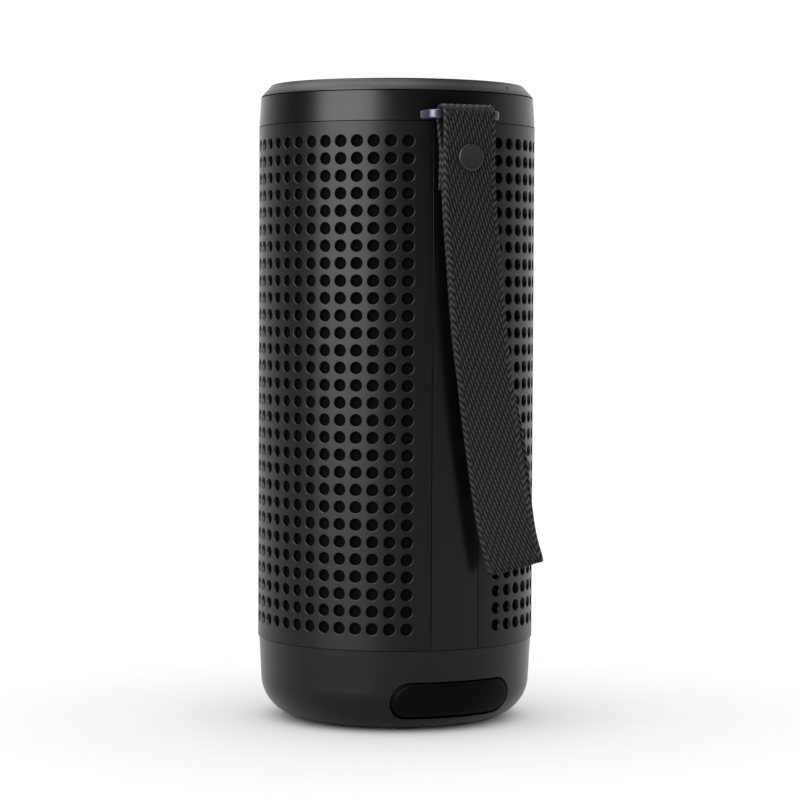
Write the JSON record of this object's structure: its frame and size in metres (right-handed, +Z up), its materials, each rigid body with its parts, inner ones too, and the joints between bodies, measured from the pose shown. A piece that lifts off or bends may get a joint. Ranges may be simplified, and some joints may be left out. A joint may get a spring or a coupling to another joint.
{
  "type": "shower speaker",
  "caption": "Cylindrical portable shower speaker with a wrapped perforated grille, chamfered top ring, rubber port cover and a woven hanging strap on a metal bracket.",
  "frame": {"origin": "centre of the rubber foot's face, on the body's axis", "axes": "+Z up along the body's axis, -Y towards the back with the spine, strap and ports, +Y towards the drivers"},
  "size_m": [0.076, 0.0875, 0.174],
  "materials": {
    "satin_plastic": "fine satin moulded plastic",
    "top_ring_plastic": "satin dark grey moulded plastic",
    "button_rubber": "soft matte silicone skin",
    "light_lens": "frosted clear lens",
    "grille_coating": "fine matte powder coat on steel",
    "acoustic_cloth": "tight black acoustic weave",
    "soft_rubber": "matte moulded rubber",
    "nylon_webbing": "close black nylon weave with corded edges",
    "satin_metal": "fine bead-blasted grey metal",
    "rivet_metal": "dark plated steel",
    "chassis_plastic": "coarse moulded plastic",
    "cone_pulp": "stiff coated paper",
    "basket_steel": "stamped and painted steel",
    "magnet_iron": "ferrite and plated iron",
    "radiator_steel": "painted steel plate",
    "cell_wrap": "steel cans in shrink wrap",
    "holder_plastic": "moulded plastic",
    "board_laminate": "solder-masked laminate",
    "component_black": "moulded chip bodies and cans",
    "port_metal": "stamped bright steel",
    "ribbon_film": "white flat cable film",
    "lead_wire": "insulated wires",
    "screw_steel": "zinc-plated steel"
  },
  "bodies": {
    "root": {"upper_housing": "satin_plastic", "base_housing": "satin_plastic", "spine_cover": "satin_plastic", "top_bezel": "top_ring_plastic", "top_panel": "button_rubber", "status_light": "light_lens", "grille": "grille_coating", "grille_cloth": "acoustic_cloth", "base_foot": "soft_rubber", "port_cover_anchor": "soft_rubber", "upper_seal": "soft_rubber", "lower_seal": "soft_rubber", "strap_bracket": "satin_metal", "chassis_front": "chassis_plastic", "chassis_rear": "chassis_plastic", "battery_cells": "cell_wrap", "battery_holder": "holder_plastic", "battery_lead": "lead_wire", "main_board": "board_laminate", "key_board": "board_laminate", "board_components": "component_black", "tact_switches": "component_black", "microphone": "port_metal", "usb_socket": "port_metal", "aux_jack": "component_black", "card_slot": "port_metal", "key_ribbon": "ribbon_film", "left_radiator_surround": "soft_rubber", "right_radiator_surround": "soft_rubber", "upper_driver_frame": "basket_steel", "upper_driver_magnet": "magnet_iron", "upper_driver_surround": "soft_rubber", "lower_driver_frame": "basket_steel", "lower_driver_magnet": "magnet_iron", "lower_driver_surround": "soft_rubber", "chassis_screws": "screw_steel", "driver_screws": "screw_steel", "base_screws": "screw_steel", "deck_screws": "screw_steel", "bracket_screws": "screw_steel", "key_board_screws": "screw_steel", "board_screws": "screw_steel"},
    "strap": {"strap_webbing": "nylon_webbing", "strap_rivet_cap": "rivet_metal", "strap_rivet_back": "rivet_metal"},
    "port_cover": {"port_cover": "soft_rubber"},
    "play_button": {"play_button": "button_rubber"},
    "volume_up_button": {"volume_up_button": "button_rubber"},
    "volume_down_button": {"volume_down_button": "button_rubber"},
    "power_button": {"power_button": "button_rubber"},
    "pairing_button": {"pairing_button": "button_rubber"},
    "upper_cone": {"upper_driver_cone": "cone_pulp"},
    "lower_cone": {"lower_driver_cone": "cone_pulp"},
    "left_radiator": {"left_radiator_plate": "radiator_steel"},
    "right_radiator": {"right_radiator_plate": "radiator_steel"}
  },
  "joints": [
    {"name": "strap_swing", "type": "hinge", "parent": "root", "child": "strap", "pos_m": [0, -0.0424, 0.1641], "axis": [-1, 0, 0], "range_deg": [0, 150]},
    {"name": "port_cover_swing", "type": "hinge", "parent": "root", "child": "port_cover", "pos_m": [-0.01219, -0.03537, 0.0088], "axis": [0, 0, -1], "range_deg": [0, 110], "stiffness_Nm_per_rad": 0.002},
    {"name": "play_button_press", "type": "slide", "parent": "root", "child": "play_button", "axis": [0, 0, -1], "range_m": [0, 0.0005], "stiffness_N_per_m": 200},
    {"name": "volume_up_button_press", "type": "slide", "parent": "root", "child": "volume_up_button", "axis": [0, 0, -1], "range_m": [0, 0.0005], "stiffness_N_per_m": 200},
    {"name": "volume_down_button_press", "type": "slide", "parent": "root", "child": "volume_down_button", "axis": [0, 0, -1], "range_m": [0, 0.0005], "stiffness_N_per_m": 200},
    {"name": "power_button_press", "type": "slide", "parent": "root", "child": "power_button", "axis": [0, 0, -1], "range_m": [0, 0.0005], "stiffness_N_per_m": 200},
    {"name": "pairing_button_press", "type": "slide", "parent": "root", "child": "pairing_button", "axis": [0, 0, -1], "range_m": [0, 0.0005], "stiffness_N_per_m": 200},
    {"name": "upper_cone_travel", "type": "slide", "parent": "root", "child": "upper_cone", "axis": [0, 1, 0], "range_m": [-0.0015, 0.0015], "stiffness_N_per_m": 600, "deforming": ["upper_driver_surround"]},
    {"name": "lower_cone_travel", "type": "slide", "parent": "root", "child": "lower_cone", "axis": [0, 1, 0], "range_m": [-0.0015, 0.0015], "stiffness_N_per_m": 600, "deforming": ["lower_driver_surround"]},
    {"name": "left_radiator_travel", "type": "slide", "parent": "root", "child": "left_radiator", "axis": [-1, 0, 0], "range_m": [-0.002, 0.002], "stiffness_N_per_m": 1500, "deforming": ["left_radiator_surround"]},
    {"name": "right_radiator_travel", "type": "slide", "parent": "root", "child": "right_radiator", "axis": [1, 0, 0], "range_m": [-0.002, 0.002], "stiffness_N_per_m": 1500, "deforming": ["right_radiator_surround"]}
  ]
}
